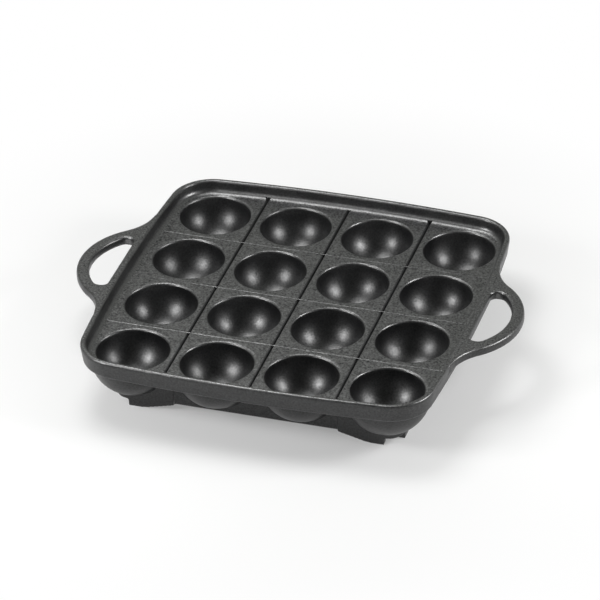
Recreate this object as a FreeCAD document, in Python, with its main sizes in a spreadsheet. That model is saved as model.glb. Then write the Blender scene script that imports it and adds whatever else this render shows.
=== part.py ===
"""Cast-iron takoyaki pan: sixteen round cups in a square deck, a raised rim, a skirt with feet, two handles.

Millimetres, +Z up. The origin is the middle of the footprint on the surface that the feet stand on.
The real pan is poured as one casting. It is divided here along the lines that the casting itself shows:
the channels between the cups, the foot of the rim, the underside of the deck and the roots of the handles.
"""
import FreeCAD
import Part

import math
import os

import Sketcher

V = FreeCAD.Vector
UP = V(0, 0, 1)
QUARTER_TURN = 90.0
TINY = 1e-9
H_AXIS = -1     # how a sketch numbers its own axes
V_AXIS = -2

# Driving dimensions, in millimetres. Drops are measured down from the top of the deck.
SIZES = {
    "pitch": 47.0,            # from the middle of one cup to the next
    "cups_per_side": 4,
    "deck_height": 29.6,      # top of the deck above the feet
    "deck_thick": 3.3,
    "deck_half": 93.0,        # edge of the flat part of the deck, where the rim's fillet starts
    "cup_radius": 19.5,
    "cup_lip": 1.2,           # rounding of the cup's mouth
    "cup_wall": 4.0,
    "bulge_fillet": 2.0,      # between the outside of a cup and the underside of the deck
    "channel_wide": 2.0,      # channels that run from front to back
    "channel_deep": 1.3,
    "bridge_long": 0.7,       # metal left across them where the cups' rows meet
    "cross_wide": 0.9,        # channels that run from side to side are mere score lines
    "cross_deep": 0.15,
    "channel_half": 94.6,     # the channels run a little way into the rim's fillet
    "plate_half": 100.7,      # middle of a side, outside, at the top of the rim
    "side_radius": 950.0,     # the sides bow outwards
    "corner_radius": 24.0,
    "rim_rise": 7.4,
    "rim_wide": 3.3,          # across the top of the rim
    "rim_draft_out": 1.5,     # how far the outer face leans in from top to bottom
    "rim_draft_in": 0.9,      # how far the inner face leans in from top to deck
    "rim_fillet": 3.5,
    "rim_round": 1.3,
    "band_round": 1.2,
    "skirt_outer": 78.4,
    "skirt_inner": 76.0,
    "skirt_drop": 25.6,
    "foot_outer": 80.0,       # the feet stand proud of the skirt
    "foot_start": 45.5,       # along the side, from its middle
    "foot_flat": 61.5,
    "foot_end": 71.0,
    "foot_bend": 8.0,
    "handle_centre": 83.5,    # middle of the handle's round outline
    "handle_outer": 41.2,
    "handle_bar": 7.0,
    "handle_thick": 5.5,
    "handle_root": 28.0,
    "handle_bury": 1.45,      # how far the handle reaches in over the rim's rounded edge
    "handle_round": 1.5,
    "grip_half": 24.2,        # half the length of the finger hole
    "grip_near": 101.6,       # the hole's straight side, which leaves a thin web along the rim
    "grip_corner": 4.0,       # of the hole's far corners
    "grip_end": 3.4,          # of its corners at the rim
}

# Dimensions that follow from the driving ones.
WORKED = {
    "side_centre": "Sizes.plate_half - Sizes.side_radius",
    "centre_gap": "Sizes.side_radius - Sizes.corner_radius",
    "corner_centre": "(side_centre + sqrt(2 * centre_gap * centre_gap - side_centre * side_centre)) / 2",
    "join_run": "(corner_centre - side_centre) / centre_gap",
    "join_rise": "corner_centre / centre_gap",
    "join_angle": "atan(join_rise / join_run)",
    "corner_sweep": "45 deg - join_angle",
    "deck_under": "Sizes.deck_height - Sizes.deck_thick",
    "rim_top": "Sizes.deck_height + Sizes.rim_rise",
    "skirt_low": "Sizes.deck_height - Sizes.skirt_drop",
    "cup_centre": "Sizes.deck_height - Sizes.cup_lip",
    "mouth_radius": "Sizes.cup_radius + Sizes.cup_lip",
    "bulge_radius": "Sizes.cup_radius + Sizes.cup_wall",
    "flare_ratio": "bulge_radius / (bulge_radius + Sizes.bulge_fillet)",
    "flare_level": "deck_under - Sizes.bulge_fillet - cup_centre",
    "flare_radius": "sqrt((bulge_radius + Sizes.bulge_fillet) * (bulge_radius + Sizes.bulge_fillet)"
                    " - flare_level * flare_level)",
    "row_out": "1.5 * Sizes.pitch",
    "row_in": "0.5 * Sizes.pitch",
    "rim_inner": "Sizes.plate_half - Sizes.rim_wide",
    "wall_base": "rim_inner - Sizes.rim_draft_in",
    "band_half": "Sizes.plate_half - Sizes.rim_draft_out",
    "root_reach": "Sizes.handle_outer + Sizes.handle_root",
    "root_span": "Sizes.handle_centre - side_centre",
    "root_far": "Sizes.side_radius + Sizes.handle_root",
    "root_x": "((root_far * root_far - root_reach * root_reach) / root_span"
              " + side_centre + Sizes.handle_centre) / 2",
    "root_y": "sqrt(root_reach * root_reach"
              " - (root_x - Sizes.handle_centre) * (root_x - Sizes.handle_centre))",
    "grip_radius": "Sizes.handle_outer - Sizes.handle_bar",
    "grip_turn": "grip_radius - Sizes.grip_corner",
    "grip_level": "Sizes.grip_half - Sizes.grip_corner",
    "grip_x": "sqrt(grip_turn * grip_turn - grip_level * grip_level)",
}

doc = FreeCAD.newDocument("takoyaki_pan")


def fill_sheets():
    """Writes the driving dimensions and what follows from them, one aliased cell each."""
    for sheet_name, table in (("Sizes", SIZES), ("Worked", WORKED)):
        sheet = doc.addObject("Spreadsheet::Sheet", sheet_name)
        for line, (alias, content) in enumerate(table.items(), start=1):
            sheet.set(f"A{line}", alias)
            sheet.setAlias(f"B{line}", alias)
            sheet.set(f"B{line}", str(content) if sheet_name == "Sizes" else f"={content}")
        doc.recompute()


def worth(expression):
    """The number that an expression of the sheets gives."""
    value = doc.Worked.evalExpression(expression)
    return float(getattr(value, "Value", value))


def place(thing, x="0", y="0", z="0"):
    """Binds an object's position to expressions of the sheets."""
    for axis, expression in zip("xyz", (x, y, z)):
        thing.setExpression(f"Placement.Base.{axis}", expression)


def arc_centre(start, finish, radius, swells_left):
    """The centre of the shorter arc from start to finish, which swells to the left or right of the way along it."""
    chord = finish - start
    leftwards = V(-chord.y, chord.x, 0).normalize()
    distance = math.sqrt(radius * radius - chord.Length ** 2 / 4)
    return (start + finish) / 2 - leftwards * (distance if swells_left else -distance)


def new_sketch(body, role, name, shift=None, turn=0.0):
    """A sketch on one of the body's own origin planes, which may be shifted and turned about the sketch's Y."""
    sketch = body.newObject("Sketcher::SketchObject", name)
    plane = [feature for feature in body.Origin.OriginFeatures if feature.Role == role][0]
    sketch.AttachmentSupport = (plane, [""])
    sketch.MapMode = "FlatFace"
    sketch.AttachmentOffset = FreeCAD.Placement(V(0, 0, 0), FreeCAD.Rotation(V(0, 1, 0), turn))
    for axis, expression in (shift or {}).items():
        sketch.setExpression(f"AttachmentOffset.Base.{axis}", expression)
    doc.recompute()
    return sketch


def pin(sketch, curve, end, x, y):
    """Holds one end of a curve at a place given by two expressions."""
    for kind, axis_line, expression in (("DistanceX", V_AXIS, x), ("DistanceY", H_AXIS, y)):
        value = worth(expression)
        if abs(value) < TINY:
            sketch.addConstraint(Sketcher.Constraint("PointOnObject", curve, end, axis_line))
        else:
            row = sketch.addConstraint(Sketcher.Constraint(kind, curve, end, value))
            sketch.setExpression(f"Constraints[{row}]", expression)


def outline(sketch, corners):
    """Draws a closed loop. A corner is (x, y) or (x, y, radius, side): the arc that leaves it swells to that side."""
    points = [V(worth(corner[0]), worth(corner[1]), 0) for corner in corners]
    ends = []
    for index, corner in enumerate(corners):
        start = points[index]
        finish = points[(index + 1) % len(points)]
        if len(corner) == 2:
            curve = sketch.addGeometry(Part.LineSegment(start, finish), False)
            ends.append((curve, 1, 2))
            continue
        radius = worth(corner[2])
        swells_left = corner[3] == "left"
        centre = arc_centre(start, finish, radius, swells_left)
        # A sketch arc always runs anticlockwise, so one that swells left is entered from its far end.
        first, last = (finish, start) if swells_left else (start, finish)
        angles = [math.atan2(point.y - centre.y, point.x - centre.x) for point in (first, last)]
        arc = Part.ArcOfCircle(Part.Circle(centre, UP, radius), angles[0], angles[1])
        curve = sketch.addGeometry(arc, False)
        ends.append((curve, 2, 1) if swells_left else (curve, 1, 2))
    for index, corner in enumerate(corners):
        curve, start_end, _ = ends[index]
        previous = ends[index - 1]
        sketch.addConstraint(Sketcher.Constraint("Coincident", previous[0], previous[2], curve, start_end))
        pin(sketch, curve, start_end, corner[0], corner[1])
        if len(corner) == 4:
            row = sketch.addConstraint(Sketcher.Constraint("Radius", curve, worth(corner[2])))
            sketch.setExpression(f"Constraints[{row}]", corner[2])


def body_named(name):
    return doc.addObject("PartDesign::Body", name)


def pad(body, sketch, length, down=False):
    """A solid as thick as the expression says, above its sketch or below it."""
    feature = body.newObject("PartDesign::Pad", "Pad")
    feature.Profile = sketch
    feature.setExpression("Length", length)
    feature.Reversed = down
    doc.recompute()
    return feature


def pocket_through(body, sketch):
    """Cuts a sketch's shape out of the body, both ways from the sketch's plane."""
    before = body.Shape.Volume
    feature = body.newObject("PartDesign::Pocket", "Pocket")
    feature.Profile = sketch
    feature.Type = "ThroughAll"
    feature.Midplane = True
    doc.recompute()
    if body.Shape.Volume >= before:
        raise RuntimeError(f"a pocket of {body.Name} cut nothing")
    return feature


def revolve(body, sketch, axis, angle, both_ways=False):
    feature = body.newObject("PartDesign::Revolution", "Revolution")
    feature.Profile = sketch
    feature.ReferenceAxis = (sketch, [axis])
    feature.setExpression("Angle", angle)
    feature.Midplane = both_ways
    doc.recompute()
    return feature


def fillet(body, radius, wanted):
    """Rounds the edges of the body's last feature for which wanted(edge) is true."""
    base = body.Tip
    names = [f"Edge{n}" for n, edge in enumerate(base.Shape.Edges, start=1) if wanted(edge)]
    if not names:
        raise RuntimeError(f"{body.Name} has no such edges to round")
    feature = body.newObject("PartDesign::Fillet", "Fillet")
    feature.Base = (base, names)
    feature.setExpression("Radius", radius)
    doc.recompute()
    return feature


def combine(kind, name, base, tool):
    """A Part boolean of two objects: Common, Cut or Fuse."""
    feature = doc.addObject(f"Part::{kind}", name)
    feature.Base = base
    feature.Tool = tool
    doc.recompute()
    return feature


def placed(form, name, x, y):
    """A placed copy of a form, at a position given by two expressions."""
    copy = doc.addObject("App::Link", name)
    copy.LinkedObject = form
    copy.setExpression("LinkPlacement.Base.x", x)
    copy.setExpression("LinkPlacement.Base.y", y)
    return copy


def turned(node, quarters):
    """Turns a finished piece about the middle of the pan by quarter turns."""
    node.Placement = FreeCAD.Placement(V(0, 0, 0), FreeCAD.Rotation(UP, QUARTER_TURN * quarters))
    return node


def bowed_square(half):
    """The eight corners of a square outline with bowed sides and round corners, inset from the plate's."""
    side = f"(Sizes.side_radius - Sizes.plate_half + {half})"
    corner = f"(Sizes.corner_radius - Sizes.plate_half + {half})"
    run = f"Worked.corner_centre + {corner} * Worked.join_run"
    rise = f"Worked.corner_centre + {corner} * Worked.join_rise"
    return [
        (run, f"-({rise})", side, "right"),
        (run, rise, corner, "right"),
        (rise, run, side, "right"),
        (f"-({rise})", run, corner, "right"),
        (f"-({run})", rise, side, "right"),
        (f"-({run})", f"-({rise})", corner, "right"),
        (f"-({rise})", f"-({run})", side, "right"),
        (rise, f"-({run})", corner, "right"),
    ]


def make_bars(role, kind):
    """Three V bars side by side, for cutting the channels of one direction."""
    body = body_named(f"{kind}_bars")
    sketch = new_sketch(body, role, "ChannelSection")
    for line in (-1, 0, 1):
        middle = f"{line} * Sizes.pitch"
        left = f"{middle} - Sizes.{kind}_wide / 2"
        right = f"{middle} + Sizes.{kind}_wide / 2"
        outline(sketch, [
            (middle, f"Sizes.deck_height - Sizes.{kind}_deep"),
            (right, "Sizes.deck_height"),
            (right, "Sizes.deck_height + Sizes.channel_deep"),
            (left, "Sizes.deck_height + Sizes.channel_deep"),
            (left, "Sizes.deck_height"),
        ])
    feature = pad(body, sketch, "2 * Sizes.channel_half")
    feature.Midplane = True
    doc.recompute()
    return body


def make_channels():
    """All the narrow channels between the cups, for cutting. Metal bridges the wide ones where the rows meet."""
    bars = make_bars("XZ_Plane", "channel")
    for number, line in enumerate((-1, 0, 1), start=1):
        bridge = doc.addObject("Part::Box", f"bridge_{number}")
        place(bridge, "-Sizes.deck_half", f"{line} * Sizes.pitch - Sizes.bridge_long / 2",
              "Sizes.deck_height - Sizes.channel_deep")
        bridge.setExpression("Length", "2 * Sizes.deck_half")
        bridge.setExpression("Width", "Sizes.bridge_long")
        bridge.setExpression("Height", "2 * Sizes.channel_deep")
        doc.recompute()
        bars = combine("Cut", f"channels_less_bridge_{number}", bars, bridge)
    return combine("Fuse", "channels", bars, make_bars("YZ_Plane", "cross"))


def make_deck(channels):
    """The flat deck, with the channels cut in its top."""
    body = body_named("deck_blank")
    sketch = new_sketch(body, "XY_Plane", "DeckOutline", {"z": "Sizes.deck_height"})
    outline(sketch, bowed_square("Sizes.deck_half"))
    pad(body, sketch, "Sizes.deck_thick", down=True)
    return combine("Cut", "deck_cut", body, channels)


def make_bulge_form():
    """The outside of one cup below the deck: most of a ball, flared into the deck's underside."""
    body = body_named("bulge_form")
    sketch = new_sketch(body, "XZ_Plane", "BulgeSection")
    outline(sketch, [
        ("0", "Worked.cup_centre - Worked.bulge_radius", "Worked.bulge_radius", "right"),
        ("Worked.flare_radius * Worked.flare_ratio", "Worked.cup_centre + Worked.flare_level * Worked.flare_ratio",
         "Sizes.bulge_fillet", "left"),
        ("Worked.flare_radius", "Worked.deck_under"),
        ("0", "Worked.deck_under"),
    ])
    revolve(body, sketch, "V_Axis", "360")
    return body


def make_hollow_form():
    """The inside of one cup: half a ball with a rounded mouth."""
    body = body_named("hollow_form")
    sketch = new_sketch(body, "XZ_Plane", "HollowSection")
    above = "Sizes.deck_height + Sizes.cup_lip"
    outline(sketch, [
        ("0", "Worked.cup_centre - Sizes.cup_radius", "Sizes.cup_radius", "right"),
        ("Sizes.cup_radius", "Worked.cup_centre", "Sizes.cup_lip", "left"),
        ("Worked.mouth_radius", "Sizes.deck_height"),
        ("Worked.mouth_radius", above),
        ("0", above),
    ])
    revolve(body, sketch, "V_Axis", "360")
    return body


def make_cup(row, column, deck, bulge_form, hollow_form):
    """One cup with its share of the deck, parted from its neighbours down the middle of the channels."""
    name = f"cup_{row + 1}_{column + 1}"
    outermost = SIZES["cups_per_side"] - 1
    middles = [f"{place_in_row - outermost / 2} * Sizes.pitch" for place_in_row in (column, row)]
    cell = doc.addObject("Part::Box", f"{name}_cell")
    spans = []
    for step, middle in zip((column, row), middles):
        low = f"{middle} - Sizes.pitch / 2" if step > 0 else "-Sizes.plate_half"
        high = f"{middle} + Sizes.pitch / 2" if step < outermost else "Sizes.plate_half"
        spans.append((low, high))
    place(cell, spans[0][0], spans[1][0])
    cell.setExpression("Length", f"{spans[0][1]} - ({spans[0][0]})")
    cell.setExpression("Width", f"{spans[1][1]} - ({spans[1][0]})")
    cell.setExpression("Height", "Sizes.deck_height")
    bulge = placed(bulge_form, f"{name}_bulge", *middles)
    hollow = placed(hollow_form, f"{name}_hollow", *middles)
    doc.recompute()
    slab = combine("Common", f"{name}_slab", deck, cell)
    ball = combine("Common", f"{name}_ball", bulge, cell)
    solid = combine("Fuse", f"{name}_solid", slab, ball)
    return combine("Cut", name, solid, hollow)


def rim_section(inset):
    """The section of the rim, with x measured from the outline's middle less the inset."""
    def across(x):
        return f"{x} - ({inset})"
    return [
        (across("Sizes.deck_half"), "Worked.deck_under"),
        (across("Worked.band_half"), "Worked.deck_under"),
        (across("Sizes.plate_half"), "Worked.rim_top"),
        (across("Worked.rim_inner"), "Worked.rim_top"),
        (across("Worked.wall_base"), "Sizes.deck_height"),
        (across("Sizes.deck_half"), "Sizes.deck_height"),
    ]


def round_edge_at(level, insets):
    """Picks the level arcs at a height that run round the pan at one of the given insets."""
    height = worth(level)
    radii = [worth(f"{outline_radius} - ({inset})")
             for inset in insets for outline_radius in ("Sizes.side_radius", "Sizes.corner_radius")]

    def wanted(edge):
        curve = edge.Curve
        if not isinstance(curve, Part.Circle) or abs(curve.Axis.z) < 0.99:
            return False
        level_fits = abs(curve.Center.z - height) < 1e-4
        return level_fits and any(abs(curve.Radius - radius) < 1e-3 for radius in radii)
    return wanted


def make_rim_side(name, quarters, channels):
    """One side of the rim with half of each corner beside it, parted from the next side on the diagonal."""
    body = body_named(f"{name}_body")
    side = new_sketch(body, "XZ_Plane", "SideSection", {"x": "Worked.side_centre"})
    outline(side, rim_section("Worked.side_centre"))
    revolve(body, side, "V_Axis", "2 * Worked.join_angle", both_ways=True)
    corner_inset = "Sizes.plate_half - Sizes.corner_radius"
    for sign, start_turn in ((1, worth("Worked.join_angle")), (-1, -QUARTER_TURN / 2)):
        shift = {"x": "Worked.corner_centre", "z": f"{-sign} * Worked.corner_centre"}
        corner = new_sketch(body, "XZ_Plane", "CornerSection", shift, start_turn)
        outline(corner, rim_section(corner_inset))
        revolve(body, corner, "V_Axis", "Worked.corner_sweep")
    fillet(body, "Sizes.rim_fillet", round_edge_at("Sizes.deck_height", ["Sizes.plate_half - Worked.wall_base"]))
    fillet(body, "Sizes.rim_round", round_edge_at("Worked.rim_top", ["0", "Sizes.rim_wide"]))
    fillet(body, "Sizes.band_round", round_edge_at("Worked.deck_under", ["Sizes.rim_draft_out"]))
    return turned(combine("Cut", name, body, channels), quarters)


def make_handle(name, quarters, rim_right):
    """One loop handle. It lies flush with the rim's top and is fitted to the rim's leaning outer face."""
    body = body_named(f"{name}_body")
    sketch = new_sketch(body, "XY_Plane", "HandleOutline", {"z": "Worked.rim_top"})
    outer_share = "Sizes.handle_outer / Worked.root_reach"
    side_share = "Sizes.side_radius / Worked.root_far"
    swing_x = f"Sizes.handle_centre + (Worked.root_x - Sizes.handle_centre) * {outer_share}"
    swing_y = f"Worked.root_y * {outer_share}"
    root_x = f"Worked.side_centre + (Worked.root_x - Worked.side_centre) * {side_share}"
    root_y = f"Worked.root_y * {side_share}"
    buried = "Sizes.side_radius - Sizes.handle_bury"
    buried_x = f"Worked.side_centre + sqrt(({buried}) * ({buried}) - ({root_y}) * ({root_y}))"
    outline(sketch, [
        (root_x, f"-({root_y})", "Sizes.handle_root", "left"),
        (swing_x, f"-({swing_y})", "Sizes.handle_outer", "right"),
        (swing_x, swing_y, "Sizes.handle_root", "left"),
        (root_x, root_y),
        (buried_x, root_y, buried, "left"),
        (buried_x, f"-({root_y})"),
    ])
    pad(body, sketch, "Sizes.handle_thick", down=True)
    hole = new_sketch(body, "XY_Plane", "FingerHole", {"z": "Worked.rim_top"})
    grip_share = "Worked.grip_radius / Worked.grip_turn"
    turn_x = f"Sizes.handle_centre + Worked.grip_x * {grip_share}"
    turn_y = f"Worked.grip_level * {grip_share}"
    flat_x = "Sizes.handle_centre + Worked.grip_x"
    near_x = "Sizes.grip_near + Sizes.grip_end"
    near_y = "Sizes.grip_half - Sizes.grip_end"
    outline(hole, [
        (near_x, "-Sizes.grip_half"),
        (flat_x, "-Sizes.grip_half", "Sizes.grip_corner", "right"),
        (turn_x, f"-({turn_y})", "Worked.grip_radius", "right"),
        (turn_x, turn_y, "Sizes.grip_corner", "right"),
        (flat_x, "Sizes.grip_half"),
        (near_x, "Sizes.grip_half", "Sizes.grip_end", "right"),
        ("Sizes.grip_near", near_y),
        ("Sizes.grip_near", f"-({near_y})", "Sizes.grip_end", "right"),
    ])
    pocket_through(body, hole)
    levels = [worth("Worked.rim_top"), worth("Worked.rim_top - Sizes.handle_thick")]
    least_x = worth(root_x)

    def wanted(edge):
        box = edge.BoundBox
        flat = box.ZLength < 1e-4 and min(abs(box.ZMin - level) for level in levels) < 1e-4
        return flat and box.XMax > least_x + 0.5
    fillet(body, "Sizes.handle_round", wanted)
    return turned(combine("Cut", name, body, rim_right), quarters)


def cut_clear(name, block, bulge_form, cups):
    """Fits a wall under the deck to the outsides of the cups that it meets."""
    for number, (x, y) in enumerate(cups):
        bulge = placed(bulge_form, f"{name}_bulge_{number}", x, y)
        doc.recompute()
        last = number == len(cups) - 1
        block = combine("Cut", name if last else f"{name}_cut_{number}", block, bulge)
    return block


def make_skirt(name, quarters, bulge_form):
    """The straight skirt wall of one side, between its two feet."""
    wall = doc.addObject("Part::Box", f"{name}_wall")
    place(wall, "-Sizes.foot_start", "Sizes.skirt_inner", "Worked.skirt_low")
    wall.setExpression("Length", "2 * Sizes.foot_start")
    wall.setExpression("Width", "Sizes.skirt_outer - Sizes.skirt_inner")
    wall.setExpression("Height", "Worked.deck_under - Worked.skirt_low")
    doc.recompute()
    across = ("-Worked.row_out", "-Worked.row_in", "Worked.row_in", "Worked.row_out")
    fitted = cut_clear(name, wall, bulge_form, [(x, "Worked.row_out") for x in across])
    return turned(fitted, quarters)


def make_corner_feet(name, quarters, bulge_form):
    """Two feet and the round corner of the skirt that joins them."""
    body = body_named(f"{name}_body")
    wall = "Sizes.foot_outer - Sizes.skirt_inner"
    for role, face in (("XZ_Plane", "-Sizes.foot_outer"), ("YZ_Plane", "Sizes.skirt_inner")):
        sketch = new_sketch(body, role, "FootSection", {"z": face})
        outline(sketch, [
            ("Sizes.foot_start", "Worked.deck_under"),
            ("Sizes.foot_start", "Worked.skirt_low"),
            ("Sizes.foot_flat", "0"),
            ("Sizes.foot_end", "0"),
            ("Sizes.foot_end", "Worked.deck_under"),
        ])
        pad(body, sketch, wall)
    turn = new_sketch(body, "XY_Plane", "CornerTurn", {"z": "Worked.skirt_low"})
    outer = "Sizes.foot_outer - Sizes.foot_end"
    inner = "Sizes.skirt_inner - Sizes.foot_end"
    outline(turn, [
        ("Sizes.foot_outer", "Sizes.foot_end", outer, "right"),
        ("Sizes.foot_end", "Sizes.foot_outer"),
        ("Sizes.foot_end", "Sizes.skirt_inner", inner, "left"),
        ("Sizes.skirt_inner", "Sizes.foot_end"),
    ])
    pad(body, turn, "Worked.deck_under - Worked.skirt_low")
    flat_start = worth("Sizes.foot_flat")
    skirt_low = worth("Worked.skirt_low")

    def bend_line(edge):
        box = edge.BoundBox
        level = box.ZLength < 1e-4 and abs(box.ZMin) < 1e-4
        on_foot = abs(box.XMin - flat_start) < 1e-4 and abs(box.XMax - flat_start) < 1e-4
        on_other = abs(box.YMin - flat_start) < 1e-4 and abs(box.YMax - flat_start) < 1e-4
        return level and (on_foot or on_other) and skirt_low > 0
    fillet(body, "Sizes.foot_bend", bend_line)
    cups = [("Worked.row_out", "Worked.row_out"), ("Worked.row_in", "Worked.row_out"),
            ("Worked.row_out", "Worked.row_in")]
    return turned(cut_clear(name, body, bulge_form, cups), quarters)


def build():
    """Makes every piece and returns the finished ones."""
    fill_sheets()
    channels = make_channels()
    deck = make_deck(channels)
    bulge_form = make_bulge_form()
    hollow_form = make_hollow_form()
    nodes = []
    for row in range(SIZES["cups_per_side"]):
        for column in range(SIZES["cups_per_side"]):
            nodes.append(make_cup(row, column, deck, bulge_form, hollow_form))
    rims = {}
    for quarters, side in enumerate(("right", "back", "left", "front")):
        rims[side] = make_rim_side(f"rim_{side}", quarters, channels)
    nodes += rims.values()
    for quarters, side in ((0, "right"), (2, "left")):
        nodes.append(make_handle(f"handle_{side}", quarters, rims["right"]))
    for quarters, side in enumerate(("back", "left", "front", "right")):
        nodes.append(make_skirt(f"skirt_{side}", quarters, bulge_form))
    for quarters, corner in enumerate(("back_right", "back_left", "front_left", "front_right")):
        nodes.append(make_corner_feet(f"feet_{corner}", quarters, bulge_form))
    doc.recompute()
    return nodes


def check(nodes):
    """Stops if any object failed, or if a piece isn't one valid solid."""
    for thing in doc.Objects:
        if "Invalid" in thing.State or "Error" in thing.State:
            raise RuntimeError(f"{thing.Name} failed: {thing.getStatusString()}")
    for node in nodes:
        shape = node.Shape
        if shape.isNull() or not shape.isValid() or len(shape.Solids) != 1:
            raise RuntimeError(f"{node.Name} is not one valid solid")
        box = shape.optimalBoundingBox()
        corners = " ".join(f"{value:8.2f}" for value in (box.XMin, box.YMin, box.ZMin, box.XMax, box.YMax, box.ZMax))
        print(f"{node.Name:20s} {shape.Volume:10.1f} mm3  {corners}")


def export(nodes):
    """Writes one STEP file for each piece."""
    os.makedirs("parts", exist_ok=True)
    for node in nodes:
        node.Label = node.Name
        node.Shape.exportStep(os.path.join("parts", f"{node.Label}.step"))


pieces = build()
check(pieces)
export(pieces)
print(f"{len(pieces)} pieces, {sum(piece.Shape.Volume for piece in pieces) / 1000:.1f} cm3")
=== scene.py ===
"""Cast-iron takoyaki pan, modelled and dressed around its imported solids.

The pan is modelled as it is made: one casting, with the soft inner and outer edges that a sand mould
leaves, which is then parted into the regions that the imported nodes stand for. Lengths are in metres,
+X runs from handle to handle, +Y to the back and +Z up.
"""

import logging
import math
from contextlib import contextmanager
from dataclasses import dataclass, field
from enum import Enum
from typing import Iterator, Sequence

import bpy
from mathutils import Matrix, Vector


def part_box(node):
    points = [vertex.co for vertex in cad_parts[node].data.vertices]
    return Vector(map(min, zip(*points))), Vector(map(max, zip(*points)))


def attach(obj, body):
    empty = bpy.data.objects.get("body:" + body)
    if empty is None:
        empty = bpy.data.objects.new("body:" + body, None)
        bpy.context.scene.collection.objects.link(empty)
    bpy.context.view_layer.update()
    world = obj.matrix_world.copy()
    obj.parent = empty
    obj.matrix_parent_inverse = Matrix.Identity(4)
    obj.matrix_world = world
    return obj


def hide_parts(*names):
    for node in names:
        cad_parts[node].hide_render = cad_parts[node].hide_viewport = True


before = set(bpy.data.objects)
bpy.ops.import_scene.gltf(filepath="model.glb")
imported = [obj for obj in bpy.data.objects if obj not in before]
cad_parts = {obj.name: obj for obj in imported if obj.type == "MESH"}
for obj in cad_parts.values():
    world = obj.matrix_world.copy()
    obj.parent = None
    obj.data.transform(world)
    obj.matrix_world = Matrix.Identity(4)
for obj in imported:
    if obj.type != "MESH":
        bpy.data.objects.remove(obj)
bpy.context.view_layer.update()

LOG = logging.getLogger("takoyaki_pan")
MM = 0.001
QUARTER = math.pi / 2
BODY = "root"

Point = tuple[float, float]
Span = tuple[float, float]
Corner = tuple[float, float, float]
Mesh = bpy.types.Object


class Combine(Enum):
    """How two solids are combined."""

    JOIN = "UNION"
    CUT = "DIFFERENCE"
    KEEP = "INTERSECT"


class Side(Enum):
    """The pan's sides, as quarter turns from the right-hand one."""

    RIGHT = 0
    BACK = 1
    LEFT = 2
    FRONT = 3


# ---------------------------------------------------------------- modelling tools


def activate(piece: Mesh) -> None:
    """Makes a piece the only one that operators act on."""
    bpy.ops.object.select_all(action="DESELECT")
    piece.select_set(True)
    bpy.context.view_layer.objects.active = piece


@contextmanager
def editing(piece: Mesh, start: str = "SELECT") -> Iterator[None]:
    """Opens a piece in edit mode, and closes it again.

    Args:
        piece: the piece to edit.
        start: "SELECT" or "DESELECT", what all of its mesh is to begin with.
    """
    activate(piece)
    bpy.ops.object.mode_set(mode="EDIT")
    bpy.ops.mesh.select_all(action=start)
    yield
    bpy.ops.object.mode_set(mode="OBJECT")


def finish(piece: Mesh, kind: str, **settings: object) -> None:
    """Adds a modifier with its settings, and applies it."""
    activate(piece)
    modifier = piece.modifiers.new(kind.lower(), kind)
    for name, value in settings.items():
        setattr(modifier, name, value)
    bpy.ops.object.modifier_apply(modifier=modifier.name)


def combine(piece: Mesh, tool: Mesh, how: Combine, keep_tool: bool = False) -> None:
    """Joins, cuts or trims a closed piece with another one.

    Args:
        piece: the piece that changes.
        tool: the other one.
        how: what is done with it.
        keep_tool: True if the tool is used again.
    """
    finish(piece, "BOOLEAN", object=tool, operation=how.value, solver="MANIFOLD")
    if not piece.data.polygons:
        raise RuntimeError(f"nothing is left of {piece.name}")
    if not keep_tool:
        bpy.data.objects.remove(tool)


def new_piece(name: str, points: Sequence[Sequence[float]], edges: Sequence = (),
              faces: Sequence = ()) -> Mesh:
    """Makes an object of the given vertices, edges and faces."""
    mesh = bpy.data.meshes.new(name)
    mesh.from_pydata([tuple(point) for point in points], list(edges), list(faces))
    piece = bpy.data.objects.new(name, mesh)
    bpy.context.scene.collection.objects.link(piece)
    return piece


def copy_of(piece: Mesh, name: str) -> Mesh:
    """Copies a piece with a mesh of its own."""
    copy = piece.copy()
    copy.data = piece.data.copy()
    copy.name = name
    bpy.context.scene.collection.objects.link(copy)
    return copy


def merged(pieces: Sequence[Mesh], name: str) -> Mesh:
    """Puts several pieces in one object."""
    activate(pieces[0])
    for piece in pieces:
        piece.select_set(True)
    bpy.ops.object.join()
    pieces[0].name = name
    return pieces[0]


def arc(centre: Point, radius: float, start: float, end: float, steps: int) -> list[Point]:
    """Points along an arc.

    Args:
        centre: its middle.
        radius: its radius.
        start: the first point's angle, in degrees.
        end: the last point's angle, in degrees.
        steps: how many parts it has.

    Returns:
        One point more than there are parts.
    """
    angles = [math.radians(start + (end - start) * step / steps) for step in range(steps + 1)]
    return [(centre[0] + radius * math.cos(a), centre[1] + radius * math.sin(a)) for a in angles]


def rounded(corners: Sequence[Corner], steps: int = 6) -> list[Point]:
    """Rounds the corners of an open line.

    Args:
        corners: each corner's place, and the radius of its rounding.
        steps: how many parts each rounding has.

    Returns:
        The points of the rounded line.
    """
    points: list[Point] = []
    for index, (x, y, radius) in enumerate(corners):
        if radius == 0:
            points.append((x, y))
            continue
        here = Vector((x, y))
        back = (Vector(corners[index - 1][:2]) - here).normalized()
        ahead = (Vector(corners[index + 1][:2]) - here).normalized()
        half_angle = back.angle(ahead) / 2
        centre = here + (back + ahead).normalized() * (radius / math.sin(half_angle))
        first = here + back * (radius / math.tan(half_angle)) - centre
        last = here + ahead * (radius / math.tan(half_angle)) - centre
        start = math.degrees(math.atan2(first.y, first.x))
        sweep = math.degrees(math.atan2(first.x * last.y - first.y * last.x, first.dot(last)))
        points += arc((centre.x, centre.y), radius, start, start + sweep, steps)
    return points


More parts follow.
